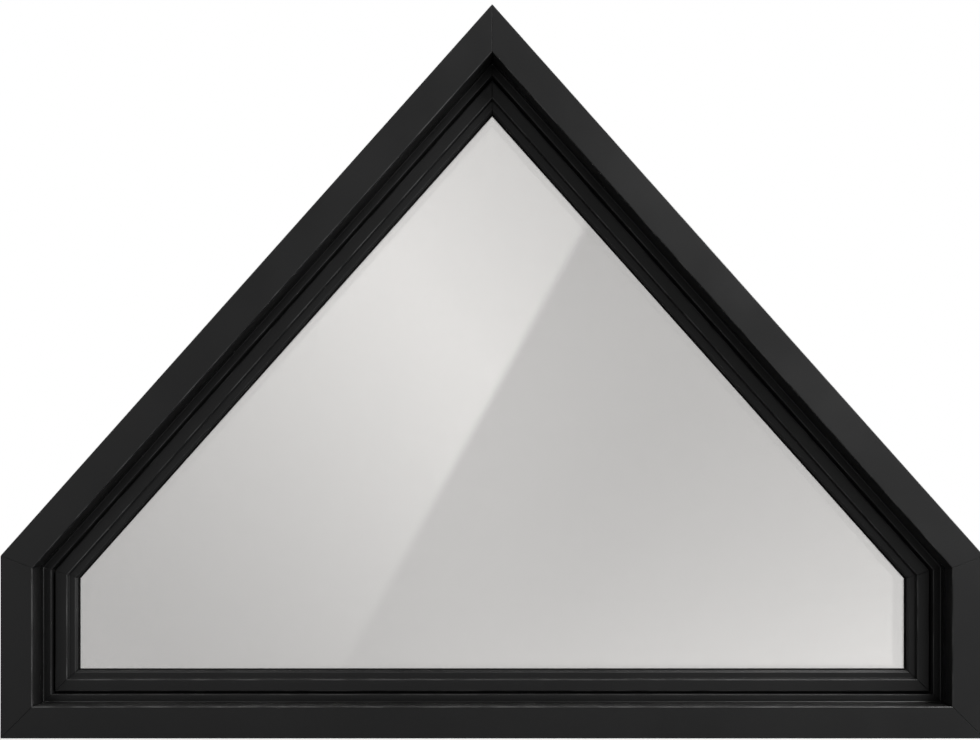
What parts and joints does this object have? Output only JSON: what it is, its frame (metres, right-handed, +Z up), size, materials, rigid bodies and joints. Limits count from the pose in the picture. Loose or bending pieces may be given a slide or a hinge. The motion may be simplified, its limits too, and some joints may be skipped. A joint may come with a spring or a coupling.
{
  "type": "gable window",
  "caption": "Fixed gable window with a pointed head: mitred black metal frame, deep reveal, inset sash, snap-in beads and a sealed glass unit, set in a wall opening.",
  "frame": {"origin": "underside of the sill, at mid width and mid depth", "axes": "+X to the right seen from outdoors, +Y from outdoors into the room, +Z up"},
  "size_m": [1.54, 0.108, 1.15],
  "materials": {
    "frame_black": "satin",
    "sash_black": "satin",
    "bead_black": "satin",
    "thermal_break": "matte",
    "glass": "clear",
    "spacer": "matte",
    "gasket": "matte"
  },
  "bodies": {
    "root": {"sill_outer_frame": "frame_black", "sill_thermal_break": "thermal_break", "sill_inner_frame": "frame_black", "sill_sash": "sash_black", "sill_glazing_bead": "bead_black", "left_jamb_outer_frame": "frame_black", "left_jamb_thermal_break": "thermal_break", "left_jamb_inner_frame": "frame_black", "left_jamb_sash": "sash_black", "left_jamb_glazing_bead": "bead_black", "left_rake_outer_frame": "frame_black", "left_rake_thermal_break": "thermal_break", "left_rake_inner_frame": "frame_black", "left_rake_sash": "sash_black", "left_rake_glazing_bead": "bead_black", "right_rake_outer_frame": "frame_black", "right_rake_thermal_break": "thermal_break", "right_rake_inner_frame": "frame_black", "right_rake_sash": "sash_black", "right_rake_glazing_bead": "bead_black", "right_jamb_outer_frame": "frame_black", "right_jamb_thermal_break": "thermal_break", "right_jamb_inner_frame": "frame_black", "right_jamb_sash": "sash_black", "right_jamb_glazing_bead": "bead_black", "outer_glass_pane": "glass", "inner_glass_pane": "glass", "spacer_bar": "spacer", "outer_glass_gasket": "gasket", "inner_glass_gasket": "gasket", "sash_gap_seal": "gasket", "sash_stop_seal": "gasket"}
  },
  "joints": []
}
